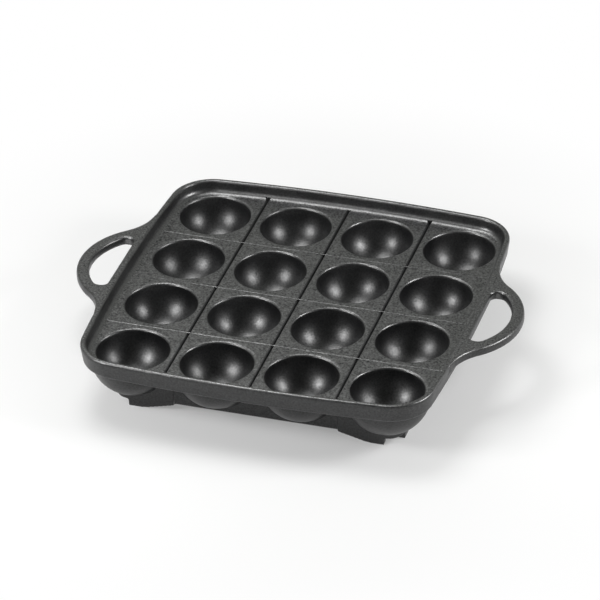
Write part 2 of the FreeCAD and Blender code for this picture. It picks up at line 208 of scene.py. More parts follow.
def prism(name: str, outline: Sequence[Point], low: float, high: float) -> Mesh:
    """Raises a flat outline into an upright solid.

    Args:
        name: the piece's name.
        outline: the outline's points, in order.
        low: the height of its underside.
        high: the height of its top.

    Returns:
        A closed solid.
    """
    piece = new_piece(name, [(x, y, low) for x, y in outline], faces=[range(len(outline))])
    with editing(piece):
        bpy.ops.mesh.extrude_region_move(TRANSFORM_OT_translate={"value": (0, 0, high - low)})
        bpy.ops.mesh.select_all(action="SELECT")
        bpy.ops.mesh.normals_make_consistent(inside=False)
    return piece


def block(name: str, low: Sequence[float], high: Sequence[float], corner_radius: float = 0.0) -> Mesh:
    """A box between two corners, whose upright edges may be rounded.

    Args:
        name: the piece's name.
        low: its lowest corner.
        high: its highest corner.
        corner_radius: the radius of its upright edges.

    Returns:
        A closed solid.
    """
    middle = [(a + b) / 2 for a, b in zip(low, high)]
    size = [b - a for a, b in zip(low, high)]
    bpy.ops.object.select_all(action="DESELECT")
    bpy.ops.mesh.primitive_cube_add(size=1, location=middle, scale=size)
    piece = bpy.context.object
    piece.name = name
    bpy.ops.object.transform_apply(location=True, rotation=True, scale=True)
    if corner_radius:
        upright_corners(piece, corner_radius)
    return piece


def upright_corners(piece: Mesh, radius: float) -> None:
    """Rounds the upright edges of a block."""
    with editing(piece, "DESELECT"):
        bpy.ops.mesh.select_mode(type="EDGE")
        bpy.ops.object.mode_set(mode="OBJECT")
        for edge in piece.data.edges:
            ends = [piece.data.vertices[index].co for index in edge.vertices]
            edge.select = abs(ends[0].z - ends[1].z) > radius / 100
        bpy.ops.object.mode_set(mode="EDIT")
        bpy.ops.mesh.bevel(offset=radius, segments=12, affect="EDGES")
        bpy.ops.mesh.select_mode(type="VERT")


def turned(name: str, section: Sequence[Point], steps: int = 96) -> Mesh:
    """Spins a section, whose ends lie on the upright axis, into a round solid.

    Args:
        name: the piece's name.
        section: points as distance from the axis and height.
        steps: how many parts the turn has.

    Returns:
        A closed solid about the axis.
    """
    chain = [(index, index + 1) for index in range(len(section) - 1)]
    piece = new_piece(name, [(x, 0, z) for x, z in section], edges=chain)
    with editing(piece):
        bpy.ops.mesh.spin(steps=steps, angle=math.tau, center=(0, 0, 0), axis=(0, 0, 1))
        close_shell()
    return piece


def close_shell() -> None:
    """In edit mode, merges what meets, fills what is open, and points the faces outwards."""
    bpy.ops.mesh.select_all(action="SELECT")
    bpy.ops.mesh.remove_doubles(threshold=0.002 * MM)
    bpy.ops.mesh.fill_holes(sides=0)
    bpy.ops.mesh.select_all(action="SELECT")
    bpy.ops.mesh.normals_make_consistent(inside=False)


def moved(piece: Mesh, *matrices: Matrix) -> Mesh:
    """Moves or turns a piece's mesh by each matrix in order."""
    for matrix in matrices:
        piece.data.transform(matrix)
    return piece


def turn(angle: float) -> Matrix:
    """A turn about the middle of the pan."""
    return Matrix.Rotation(angle, 4, "Z")


LAY_DOWN = Matrix.Rotation(QUARTER, 4, "X")  # an upright prism's outline then stands in the XZ plane


# ---------------------------------------------------------------- sizes


@dataclass(frozen=True)
class BowedSquare:
    """The plate's plan: four sides that bow outwards, and four round corners tangent to them."""

    half: float
    side_radius: float
    corner_radius: float

    @property
    def side_centre(self) -> float:
        """Where the right side's arc has its centre, along X."""
        return self.half - self.side_radius

    @property
    def corner_centre(self) -> float:
        """Where the back right corner's arc has its centre, along X and along Y."""
        gap = self.side_radius - self.corner_radius
        return (self.side_centre + math.sqrt(2 * gap**2 - self.side_centre**2)) / 2

    @property
    def join(self) -> float:
        """Half the angle that a side's arc takes up."""
        return math.atan2(self.corner_centre, self.corner_centre - self.side_centre)

    def outline(self, inset: float) -> list[Point]:
        """The plan's outline, moved inwards by a distance."""
        join = math.degrees(self.join)
        side = arc((self.side_centre, 0), self.side_radius - inset, -join, join, 20)
        corner = arc((self.corner_centre,) * 2, self.corner_radius - inset, join, 90 - join, 24)
        quarter = side + corner[1:-1]
        points: list[Point] = []
        for turns in range(4):
            cosine, sine = round(math.cos(turns * QUARTER)), round(math.sin(turns * QUARTER))
            points += [(x * cosine - y * sine, x * sine + y * cosine) for x, y in quarter]
        return points


@dataclass(frozen=True)
class PanSizes:
    """The pan's sizes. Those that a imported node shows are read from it."""

    pitch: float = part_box("cup_2_2")[1].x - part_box("cup_2_2")[0].x
    deck_top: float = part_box("cup_2_2")[1].z
    deck_under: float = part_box("rim_right")[0].z
    rim_top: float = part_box("rim_right")[1].z
    skirt_low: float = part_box("skirt_back")[0].z
    skirt_inner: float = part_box("skirt_back")[0].y
    skirt_outer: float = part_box("skirt_back")[1].y
    foot_start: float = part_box("feet_back_right")[0].x
    foot_outer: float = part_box("feet_back_right")[1].x
    handle_tip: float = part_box("handle_right")[1].x
    handle_low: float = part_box("handle_right")[0].z
    plan: BowedSquare = BowedSquare(100.7 * MM, 950 * MM, 24 * MM)
    deck_inset: float = 7.7 * MM
    cup_radius: float = 19.5 * MM
    cup_lip: float = 1.2 * MM
    cup_wall: float = 4.0 * MM
    bulge_fillet: float = 2.0 * MM
    rim_wide: float = 3.3 * MM
    rim_draft_out: float = 1.5 * MM
    rim_draft_in: float = 0.9 * MM
    rim_fillet: float = 3.5 * MM
    rim_round: float = 1.3 * MM
    band_round: float = 1.2 * MM
    channel_wide: float = 2.0 * MM
    channel_deep: float = 1.3 * MM
    bridge_long: float = 0.7 * MM
    cross_wide: float = 0.9 * MM
    cross_deep: float = 0.15 * MM
    channel_half: float = 94.6 * MM
    foot_flat: float = 61.5 * MM
    foot_end: float = 71.0 * MM
    foot_bend: float = 8.0 * MM
    handle_outer: float = 41.2 * MM
    handle_bar: float = 7.0 * MM
    handle_root: float = 28.0 * MM
    handle_round: float = 1.5 * MM
    grip_half: float = 24.2 * MM
    grip_near: float = 101.6 * MM
    grip_corner: float = 4.0 * MM
    grip_end: float = 3.4 * MM

    @property
    def cup_centre(self) -> float:
        """The height of the middle of a cup's ball."""
        return self.deck_top - self.cup_lip

    @property
    def cup_places(self) -> list[tuple[int, int, float, float]]:
        """Row, column, X and Y of every cup. Row 1 is the front and column 1 the left."""
        numbers = (1, 2, 3, 4)
        middle = sum(numbers) / len(numbers)
        return [(row, column, (column - middle) * self.pitch, (row - middle) * self.pitch)
                for row in numbers for column in numbers]


# ---------------------------------------------------------------- the casting


@dataclass
class Casting:
    """The whole pan in one mesh, as it comes out of the mould."""

    sizes: PanSizes
    grain: float = 0.6 * MM
    softening: int = 5
    unevenness: float = 0.09 * MM
    buried: float = 1.2 * MM
    beyond: float = 60 * MM
    made: Mesh | None = field(default=None, init=False)

    def model(self) -> Mesh:
        """Models every form, melts them into one, softens the edges and cuts the channels.

        Returns:
            The whole casting.
        """
        hollows = self.hollows()
        plate = self.plate()
        combine(plate, hollows, Combine.CUT, keep_tool=True)
        skirt = self.skirt()
        combine(skirt, hollows, Combine.CUT, keep_tool=True)
        feet = self.feet()
        combine(feet, hollows, Combine.CUT)
        forms = [plate, skirt, feet, *self.cup_shells(), *self.handles()]
        casting = merged(forms, "casting")
        finish(casting, "REMESH", mode="VOXEL", voxel_size=self.grain, use_smooth_shade=True)
        finish(casting, "SMOOTH", factor=0.5, iterations=self.softening)
        self.roughen(casting)
        for bar in self.channels():
            combine(casting, bar, Combine.CUT)
        self.made = casting
        LOG.info("casting: %d faces", len(casting.data.polygons))
        return casting

    def plate(self) -> Mesh:
        """The deck and the rim: the rim's section, taken round the plan's eight arcs and filled."""
        size = self.sizes
        half = size.plan.half
        inner = half - size.rim_wide
        section = rounded([
            (half - size.deck_inset, size.deck_top, 0),
            (inner - size.rim_draft_in, size.deck_top, size.rim_fillet),
            (inner, size.rim_top, size.rim_round),
            (half, size.rim_top, size.rim_round),
            (half - size.rim_draft_out, size.deck_under, size.band_round),
            (half - size.deck_inset, size.deck_under, 0),
        ])
        chain = [(index, index + 1) for index in range(len(section) - 1)]
        plate = new_piece("plate", [(x, 0, z) for x, z in section], edges=chain)
        centre, corner, join = size.plan.side_centre, size.plan.corner_centre, size.plan.join
        with editing(plate):
            self.sweep((centre, 0), join, 10)
            for side in range(4):
                about = turn(side * QUARTER)
                self.sweep(about @ Vector((corner, corner, 0)), QUARTER - 2 * join, 24)
                last = side == 3
                next_centre = turn((side + 1) * QUARTER) @ Vector((centre, 0, 0))
                self.sweep(next_centre, join if last else 2 * join, 10 if last else 20)
            close_shell()
        return plate

    @staticmethod
    def sweep(centre: Sequence[float], angle: float, steps: int) -> None:
        """In edit mode, takes the selected section round an upright axis."""
        place = (centre[0], centre[1], 0)
        bpy.ops.mesh.spin(steps=steps, angle=-angle, center=place, axis=(0, 0, 1))

    def bulge_section(self, outwards: float, top: float) -> list[Point]:
        """The section of a cup's outside: a ball, flared into the deck's underside.

        Args:
            outwards: how far the section is moved out of the metal.
            top: the height at which it ends.

        Returns:
            Points as distance from the cup's axis and height.
        """
        size = self.sizes
        ball = size.cup_radius + size.cup_wall
        level = size.deck_under - size.bulge_fillet
        drop = level - size.cup_centre
        flare = math.sqrt((ball + size.bulge_fillet) ** 2 - drop**2)
        touch = math.degrees(math.atan2(drop, flare))
        under = arc((0, size.cup_centre), ball + outwards, -90, touch, 24)
        blend = arc((flare, level), size.bulge_fillet - outwards, 180 + touch, 90, 8)
        return under + blend[1:] + [(flare, top), (0, top)]

    def hollows(self) -> Mesh:
        """The insides of all the cups, each half a ball with a rounded mouth."""
        size = self.sizes
        mouth = size.cup_radius + size.cup_lip
        above = size.rim_top
        bowl = arc((0, size.cup_centre), size.cup_radius, -90, 0, 24)
        lip = arc((mouth, size.cup_centre), size.cup_lip, 180, 90, 4)
        hollow = turned("hollow", bowl + lip[1:] + [(mouth, above), (0, above)])
        return self.at_each_cup(hollow, "hollows")

    def at_each_cup(self, piece: Mesh, name: str) -> Mesh:
        """Copies a piece to every cup's place, as one object, and removes it."""
        copies = []
        for row, column, x, y in self.sizes.cup_places:
            copy = copy_of(piece, f"{name}_{row}_{column}")
            copies.append(moved(copy, Matrix.Translation((x, y, 0))))
        bpy.data.objects.remove(piece)
        return merged(copies, name)

    def cup_shells(self) -> list[Mesh]:
        """The metal round each cup, let into the deck a little."""
        size = self.sizes
        shell = turned("shell", self.bulge_section(0.0, size.deck_under + self.buried))
        bowl = arc((0, size.cup_centre), size.cup_radius, -90, 0, 24)
        hollow = turned("bowl", bowl + [(size.cup_radius, size.rim_top), (0, size.rim_top)])
        combine(shell, hollow, Combine.CUT)
        return [self.at_each_cup(shell, "cup_shells")]

    def skirt(self) -> Mesh:
        """The square wall under the deck."""
        size = self.sizes
        wall = self.ring("skirt", size.skirt_outer, size.skirt_low)
        return wall

    def ring(self, name: str, outer: float, low: float) -> Mesh:
        """A square wall with round corners, from a height up into the deck."""
        size = self.sizes
        top = size.deck_under + self.buried
        inner = size.skirt_inner
        wall = block(name, (-outer, -outer, low), (outer, outer, top), outer - size.foot_end)
        room = block("room", (-inner, -inner, -self.beyond), (inner, inner, self.beyond),
                     inner - size.foot_end)
        combine(wall, room, Combine.CUT)
        return wall

    def feet(self) -> Mesh:
        """The four corners of the wall that stand proud, with two feet each."""
        size = self.sizes
        far = size.foot_outer + self.beyond
        feet = self.ring("feet", size.foot_outer, 0.0)
        start = size.foot_start
        for reach in ((start, far), (far, start)):
            gap = block("gap", (-reach[0], -reach[1], -far), (reach[0], reach[1], far))
            combine(feet, gap, Combine.CUT)
        below = rounded([
            (start - self.beyond, -self.beyond, 0),
            (start - self.beyond, size.skirt_low, 0),
            (start, size.skirt_low, size.foot_bend),
            (size.foot_flat, 0.0, size.foot_bend),
            (size.foot_end, -0.001 * MM, 0),
            (size.foot_end, -self.beyond, 0),
        ])
        for quarters in range(4):
            wedge = moved(prism("wedge", below, -far, far), LAY_DOWN, turn(quarters * QUARTER))
            combine(feet, wedge, Combine.CUT)
            end = size.foot_end
            corner = block("corner", (end, end, -far), (far, far, size.skirt_low))
            combine(feet, moved(corner, turn(quarters * QUARTER)), Combine.CUT)
        return feet

    def handles(self) -> list[Mesh]:
        """The two loop handles, let into the rim a little."""
        size = self.sizes
        middle = (size.handle_tip - size.handle_outer, 0.0)
        buried = size.plan.half - size.rim_wide + size.rim_round - 0.5 * MM
        root_reach = size.handle_outer + size.handle_root
        side_reach = size.plan.side_radius + size.handle_root
        span = middle[0] - size.plan.side_centre
        root_x = ((side_reach**2 - root_reach**2) / span + size.plan.side_centre + middle[0]) / 2
        root_y = math.sqrt(root_reach**2 - (root_x - middle[0]) ** 2)
        swing = math.degrees(math.atan2(root_y, root_x - middle[0]))
        lie = math.degrees(math.atan2(root_y, root_x - size.plan.side_centre))
        root = arc((root_x, root_y), size.handle_root, 180 + swing, 180 + lie, 16)
        loop = arc(middle, size.handle_outer, 0, swing, 32)
        grip = size.handle_outer - size.handle_bar
        grip_y = size.grip_half - size.grip_corner
        grip_x = middle[0] + math.sqrt((grip - size.grip_corner) ** 2 - grip_y**2)
        tilt = math.degrees(math.atan2(grip_y, grip_x - middle[0]))
        end = root[-1]
        near = (size.grip_near + size.grip_end, size.grip_half - size.grip_end)
        outer = loop + root[1:] + [(end[0] - 1.9 * MM, end[1]), (buried, end[1])]
        inner = arc(middle, grip, 0, tilt, 28) + arc((grip_x, grip_y), size.grip_corner, tilt, 90, 8)[1:]
        inner += arc(near, size.grip_end, 90, 180, 8)
        right = self.bar_about_hole("handle", outer, inner, size.handle_low, size.rim_top)
        self.round_rims(right, size.handle_round, end[0] + 0.05 * MM)
        left = moved(copy_of(right, "handle_left"), turn(2 * QUARTER))
        return [right, left]

    @staticmethod
    def bar_about_hole(name: str, outer: Sequence[Point], inner: Sequence[Point], low: float,
                       high: float) -> Mesh:
        """Raises the flat shape between two loops, each given by its back half, which X mirrors.

        Args:
            name: the piece's name.
            outer: the back half of the outer loop, from its middle on the right to its middle on the left.
            inner: the back half of the hole, the same way.
            low: the height of the underside.
            high: the height of the top.

        Returns:
            A closed solid.
        """
        points: list[Point] = []
        edges = []
        for half in (outer, inner):
            loop = list(half) + [(x, -y) for x, y in reversed(half) if y > 0]
            count = len(loop)
            edges += [(len(points) + index, len(points) + (index + 1) % count) for index in range(count)]
            points += loop
        piece = new_piece(name, [(x, y, low) for x, y in points], edges=edges)
        with editing(piece):
            bpy.ops.mesh.fill()
            bpy.ops.mesh.select_all(action="SELECT")
            bpy.ops.mesh.extrude_region_move(TRANSFORM_OT_translate={"value": (0, 0, high - low)})
            bpy.ops.mesh.select_all(action="SELECT")
            bpy.ops.mesh.normals_make_consistent(inside=False)
        return piece

    @staticmethod
    def round_rims(piece: Mesh, radius: float, beyond: float) -> None:
        """Rounds the edges of a prism's top and underside, as far as they lie beyond a place along X."""
        heights = [vertex.co.z for vertex in piece.data.vertices]
        low, high = min(heights), max(heights)
        with editing(piece, "DESELECT"):
            bpy.ops.mesh.select_mode(type="EDGE")
            bpy.ops.mesh.edges_select_sharp(sharpness=math.radians(60))
            bpy.ops.object.mode_set(mode="OBJECT")
            for edge in piece.data.edges:
                ends = [piece.data.vertices[index].co for index in edge.vertices]
                flat = abs(ends[0].z - ends[1].z) < (high - low) / 10
                edge.select = edge.select and flat and max(end.x for end in ends) > beyond
            bpy.ops.object.mode_set(mode="EDIT")
            bpy.ops.mesh.bevel(offset=radius, segments=4, affect="EDGES")
            bpy.ops.mesh.select_mode(type="VERT")

    def channels(self) -> list[Mesh]:
        """The V bars that cut the channels: front to back in four stretches each, and across as scores."""
        size = self.sizes
        half, gap = size.channel_half, size.bridge_long / 2
        lines = [line * size.pitch for line in (-1, 0, 1)]
        starts = [-half, *(line + gap for line in lines)]
        stretches = list(zip(starts, [*(line - gap for line in lines), half]))
        kinds = ((size.channel_wide, size.channel_deep, 0, stretches),
                 (size.cross_wide, size.cross_deep, 1, [(-half, half)]))
        sets = []
        for wide, deep, quarters, spans in kinds:
            bars = []
            for middle in lines:
                section = [
                    (middle, size.deck_top - deep),
                    (middle + wide / 2, size.deck_top),
                    (middle + wide, size.deck_top + deep),
                    (middle - wide, size.deck_top + deep),
                    (middle - wide / 2, size.deck_top),
                ]
                for low, high in spans:
                    bar = prism("channel", section, low, high)
                    bars.append(moved(bar, LAY_DOWN, turn(quarters * QUARTER)))
            sets.append(merged(bars, "channels"))
        return sets

    def roughen(self, casting: Mesh) -> None:
        """Gives the surface the slight unevenness that sand leaves, in waves and in grains."""
        for name, across, share in (("sand_waves", 14 * MM, 1.0), ("sand_grains", 1.6 * MM, 0.2)):
            pattern = bpy.data.textures.new(name, "CLOUDS")
            pattern.noise_scale = across
            pattern.noise_depth = 1
            finish(casting, "DISPLACE", texture=pattern, texture_coords="LOCAL", mid_level=1.0,
                   strength=self.unevenness * share)


# ---------------------------------------------------------------- parting the casting


@dataclass
class Parting:
    """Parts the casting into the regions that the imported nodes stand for."""

    sizes: PanSizes
    casting: Casting
    sliver: float = 0.25 * MM
    below_deck: float = 1.0 * MM
    far: float = 150 * MM

    def part(self) -> dict[str, Mesh]:
        """Parts the casting.

        Returns:
            Each piece by the name of the node that it stands for.
        """
        whole = self.casting.made
        core = self.core()
        outside = copy_of(whole, "outside")
        combine(outside, core, Combine.CUT, keep_tool=True)
        combine(whole, core, Combine.KEEP)
        pieces = self.cups(whole)
        pieces.update(self.skirts(outside))
        pieces.update(self.rims_and_handles(outside))
        bpy.data.objects.remove(outside)
        return pieces

    def core(self) -> Mesh:
        """The space that the cups take up: the deck inside the rim, and the bulges under it."""
        size = self.sizes
        outline = size.plan.outline(size.deck_inset)
        core = prism("core", outline, size.deck_under - self.below_deck, self.far)
        top = size.deck_under
        bulge = turned("bulge", self.casting.bulge_section(self.sliver, top))
        for row, column, x, y in size.cup_places:
            copy = moved(copy_of(bulge, f"bulge_{row}_{column}"), Matrix.Translation((x, y, 0)))
            combine(core, copy, Combine.JOIN)
        bpy.data.objects.remove(bulge)
        return core

    def taken(self, source: Mesh, name: str, tool: Mesh) -> Mesh:
        """Takes the part of the source that lies within a tool."""
        piece = copy_of(source, name)
        combine(piece, tool, Combine.KEEP)
        return piece

    def cups(self, source: Mesh) -> dict[str, Mesh]:
        """Parts the deck down the middle of its channels, first in columns and then in rows."""
        size = self.sizes
        pieces = {}
        columns = {}
        for row, column, x, y in size.cup_places:
            low_x = -self.far if column == 1 else x - size.pitch / 2
            high_x = self.far if column == 4 else x + size.pitch / 2
            low_y = -self.far if row == 1 else y - size.pitch / 2
            high_y = self.far if row == 4 else y + size.pitch / 2
            if column not in columns:
                strip = block("strip", (low_x, -self.far, -self.far), (high_x, self.far, self.far))
                columns[column] = self.taken(source, f"column_{column}", strip)
            cell = block("cell", (-self.far, low_y, -self.far), (self.far, high_y, self.far))
            name = f"cup_{row}_{column}"
            pieces[name] = self.taken(columns[column], f"{name}_iron", cell)
        for column in columns.values():
            bpy.data.objects.remove(column)
        bpy.data.objects.remove(source)
        return pieces

    def skirts(self, source: Mesh) -> dict[str, Mesh]:
        """Takes the walls and the feet from what is left under the deck."""
        size = self.sizes
        start, near = size.foot_start, size.skirt_inner - size.pitch / 8
        top = size.deck_under - self.below_deck
        room = block("room", (-near - 10 * MM,) * 2 + (-self.far,), (near + 10 * MM,) * 2 + (top,))
        under = self.taken(source, "under", room)
        pieces = {}
        corners = ("back_right", "back_left", "front_left", "front_right")
        for quarters, (side, corner) in enumerate(zip(("right", "back", "left", "front"), corners)):
            about = turn(quarters * QUARTER)
            wall = moved(block("wall", (near, -start, -self.far), (self.far, start, self.far)), about)
            pieces[f"skirt_{side}"] = self.taken(under, f"skirt_{side}_iron", wall)
            bend = moved(block("bend", (start, start, -self.far), (self.far, self.far, self.far)), about)
            pieces[f"feet_{corner}"] = self.taken(under, f"feet_{corner}_iron", bend)
        bpy.data.objects.remove(under)
        return pieces

    def rims_and_handles(self, source: Mesh) -> dict[str, Mesh]:
        """Parts the rim on its diagonals, and the handles at its leaning outer face."""
        size = self.sizes
        above = block("above", (-self.far, -self.far, size.deck_under - 4 * MM), (self.far,) * 3)
        ring = self.taken(source, "ring", above)
        lean = size.rim_draft_out / (size.rim_top - size.deck_under)
        low, high = -20 * MM, 20 * MM
        lower = size.plan.outline(size.rim_draft_out - low * lean)
        upper = size.plan.outline(size.rim_draft_out - high * lean)
        count = len(lower)
        points = [(x, y, size.deck_under + low) for x, y in lower]
        points += [(x, y, size.deck_under + high) for x, y in upper]
        sides = [(i, (i + 1) % count, count + (i + 1) % count, count + i) for i in range(count)]
        faces = [*sides, range(count)[::-1], range(count, 2 * count)]
        within = new_piece("within", points, faces=faces)
        loops = copy_of(ring, "loops")
        combine(loops, within, Combine.CUT, keep_tool=True)
        combine(ring, within, Combine.KEEP)
        pieces = {}
        for side in Side:
            about = turn(side.value * QUARTER)
            wedge = prism("wedge", [(0, 0), (self.far, -self.far), (self.far, self.far)], -self.far, self.far)
            name = f"rim_{side.name.lower()}"
            pieces[name] = self.taken(ring, f"{name}_iron", moved(wedge, about))
        for side in (Side.RIGHT, Side.LEFT):
            about = turn(side.value * QUARTER)
            reach = size.handle_outer + size.handle_root
            room = block("room", (0, -reach, size.handle_low - 1 * MM), (self.far, reach, self.far))
            name = f"handle_{side.name.lower()}"
            pieces[name] = self.taken(loops, f"{name}_iron", moved(room, about))
        bpy.data.objects.remove(ring)
        bpy.data.objects.remove(loops)
        return pieces


# ---------------------------------------------------------------- finishes


def linear(hex_colour: str) -> tuple[float, float, float, float]:
    """Turns an sRGB hex colour into the linear colour that a shader takes."""
    channels = [int(hex_colour[index:index + 2], 16) / 255 for index in (1, 3, 5)]
    values = [c / 12.92 if c <= 0.04045 else ((c + 0.055) / 1.055) ** 2.4 for c in channels]
    return (values[0], values[1], values[2], 1.0)


def add_node(
    tree: bpy.types.NodeTree, kind: str, inputs: dict | None = None, **settings: object
) -> bpy.types.Node:
    """Adds a node to a tree.

    Args:
        tree: the tree.
        kind: the node's type.
        inputs: a value, or another node's output, for each input by name or number.
        settings: the node's own settings.

    Returns:
        The node.
    """
    node = tree.nodes.new(kind)
    for name, value in settings.items():
        setattr(node, name, value)
    for name, value in (inputs or {}).items():
        if isinstance(value, bpy.types.NodeSocket):
            tree.links.new(value, node.inputs[name])
        else:
            node.inputs[name].default_value = value
    return node


def ramp(
    tree: bpy.types.NodeTree, value: bpy.types.NodeSocket, given: Span, wanted: Span = (0.0, 1.0)
) -> bpy.types.NodeSocket:
    """Adds a straight ramp, held level past its ends.

    Args:
        tree: the tree.
        value: what the ramp runs over.
        given: the value at each end of the ramp.
        wanted: what the ramp gives at each end.

    Returns:
        The ramp's output.
    """
    ends = {"Value": value, "From Min": given[0], "From Max": given[1],
            "To Min": wanted[0], "To Max": wanted[1]}
    return add_node(tree, "ShaderNodeMapRange", ends).outputs["Result"]


def combined(
    tree: bpy.types.NodeTree, operation: str, *values: bpy.types.NodeSocket | float
) -> bpy.types.NodeSocket:
    """Adds a sum on the given values, and returns its output."""
    return add_node(tree, "ShaderNodeMath", dict(enumerate(values)), operation=operation).outputs[0]


def empty_material(name: str) -> tuple[bpy.types.Material, bpy.types.NodeTree]:
    """Makes a material with no nodes in it."""
    material = bpy.data.materials.new(name)
    material.use_nodes = True
    material.node_tree.nodes.clear()
    return material, material.node_tree


@dataclass(frozen=True)
class SeasonedIron:
    """Sand-cast iron, blackened by baked oil: nearly black, satin, with a fine even grain.

    The level tops are wiped and shine most. The cups keep a thicker coat of oil, and soot dulls the
    outside and the underside. A lean is the upright part of the surface's normal: 1 is level, 0 upright.
    """

    name: str = "seasoned_sand_cast_iron"
    dark: str = "#0f0f10"
    light: str = "#1d1e1f"
    roughness: float = 0.37
    roughness_spread: float = 0.08
    ior: float = 2.1
    gloss_in_cups: float = 0.33
    gloss_wiped: float = 0.55
    gloss_sooty: float = 0.22
    wiped_from: float = 27.4 * MM
    wiped_above: float = 28.6 * MM
    lean_in_cups: Span = (0.0, 0.15)
    lean_on_tops: Span = (0.85, 0.99)
    lean_of_sides: Span = (0.5, 0.2)
    lean_underneath: Span = (-0.1, -0.4)
    outward: Span = (0.0, 20 * MM)
    speckle: float = 0.9
    speckle_elsewhere: float = 0.3
    relief_elsewhere: float = 0.3
    sand_grain: float = 1.0 * MM
    grain_depth: float = 0.05 * MM
    patch: float = 9 * MM
    noise_middle: Span = (0.3, 0.7)

    def material(self) -> bpy.types.Material:
        """Makes the material."""
        material, tree = empty_material(self.name)
        place = add_node(tree, "ShaderNodeTexCoord").outputs["Object"]
        grain = add_node(tree, "ShaderNodeTexNoise",
                         {"Vector": place, "Scale": 1 / self.sand_grain, "Detail": 3.0, "Roughness": 0.6})
        patches = add_node(tree, "ShaderNodeTexNoise",
                           {"Vector": place, "Scale": 1 / self.patch, "Detail": 4.0, "Roughness": 0.55})
        tone = combined(tree, "MULTIPLY", grain.outputs["Fac"], patches.outputs["Fac"])
        colour = add_node(tree, "ShaderNodeMix",
                          {"Factor": tone, "A": linear(self.dark), "B": linear(self.light)}, data_type="RGBA")
        half = self.roughness_spread / 2
        satin = ramp(tree, patches.outputs["Fac"], self.noise_middle,
                     (self.roughness - half, self.roughness + half))
        in_bowl, on_top, outside = self.masks(tree, place)
        wiped = ramp(tree, in_bowl, (0.0, 1.0), (self.gloss_wiped, self.gloss_in_cups))
        even_gloss = add_node(tree, "ShaderNodeMix", {0: outside, 2: wiped, 3: self.gloss_sooty})
        spread = ramp(tree, on_top, (0.0, 1.0), (self.speckle_elsewhere, self.speckle))
        speck = ramp(tree, grain.outputs["Fac"], self.noise_middle, (-1.0, 1.0))
        share = combined(tree, "MULTIPLY_ADD", speck, spread, 1.0)
        gloss = combined(tree, "MULTIPLY", even_gloss.outputs[0], share)
        relief = ramp(tree, on_top, (0.0, 1.0), (self.relief_elsewhere, 1.0))
        bump = add_node(tree, "ShaderNodeBump",
                        {"Height": grain.outputs["Fac"], "Distance": self.grain_depth, "Strength": relief})
        shader = add_node(tree, "ShaderNodeBsdfPrincipled",
                          {"Base Color": colour.outputs["Result"], "Roughness": satin,
                           "Specular IOR Level": gloss, "Normal": bump.outputs["Normal"],
                           "IOR": self.ior, "Metallic": 0.0})
        add_node(tree, "ShaderNodeOutputMaterial", {"Surface": shader.outputs["BSDF"]})
        return material

    def masks(self, tree: bpy.types.NodeTree, place: bpy.types.NodeSocket) -> list[bpy.types.NodeSocket]:
        """Finds the insides of the cups, the level tops above them, and the sooty outside and underside.

        Args:
            tree: the material's tree.
            place: the place on the piece.

        Returns:
            Three sockets, for the cups, the tops and the outside. Each is 1 there and 0 elsewhere.
        """
        height = add_node(tree, "ShaderNodeSeparateXYZ", {"Vector": place}).outputs["Z"]
        facing = add_node(tree, "ShaderNodeTexCoord").outputs["Normal"]
        lean = add_node(tree, "ShaderNodeSeparateXYZ", {"Vector": facing}).outputs["Z"]
        low = ramp(tree, height, (self.wiped_above, self.wiped_from))
        high = ramp(tree, height, (self.wiped_from, self.wiped_above))
        in_bowl = combined(tree, "MULTIPLY", low, ramp(tree, lean, self.lean_in_cups))
        on_top = combined(tree, "MULTIPLY", high, ramp(tree, lean, self.lean_on_tops))
        outwards = add_node(tree, "ShaderNodeVectorMath", {0: place, 1: facing}, operation="DOT_PRODUCT")
        away = ramp(tree, outwards.outputs["Value"], self.outward)
        sides = combined(tree, "MULTIPLY", away, ramp(tree, lean, self.lean_of_sides))
        outside = combined(tree, "MAXIMUM", sides, ramp(tree, lean, self.lean_underneath))
        return [in_bowl, on_top, outside]


# ---------------------------------------------------------------- the studio


def towards(azimuth: float, elevation: float) -> Vector:
    """The direction of a place that is seen from the pan.

    Args:
        azimuth: degrees from the back, turning to the right.
        elevation: degrees above the table.

    Returns:
        A unit vector.
    """
    around, up = math.radians(azimuth), math.radians(elevation)
    return Vector((math.sin(around) * math.cos(up), math.cos(around) * math.cos(up), math.sin(up)))


@dataclass(frozen=True)
class Lamp:
    """A square soft box that faces the pan."""

    name: str
    azimuth: float
    elevation: float
    distance: float = 0.62
    width: float = 0.28
    watts: float = 3.4

    def place(self) -> None:
        """Puts the lamp in the scene."""
        data = bpy.data.lights.new(self.name, "AREA")
        data.shape = "SQUARE"
        data.size = self.width
        data.energy = self.watts
        lamp = bpy.data.objects.new(self.name, data)
        back = towards(self.azimuth, self.elevation)
        lamp.location = back * self.distance
        lamp.rotation_euler = back.to_track_quat("Z", "Y").to_euler()
        bpy.context.scene.collection.objects.link(lamp)


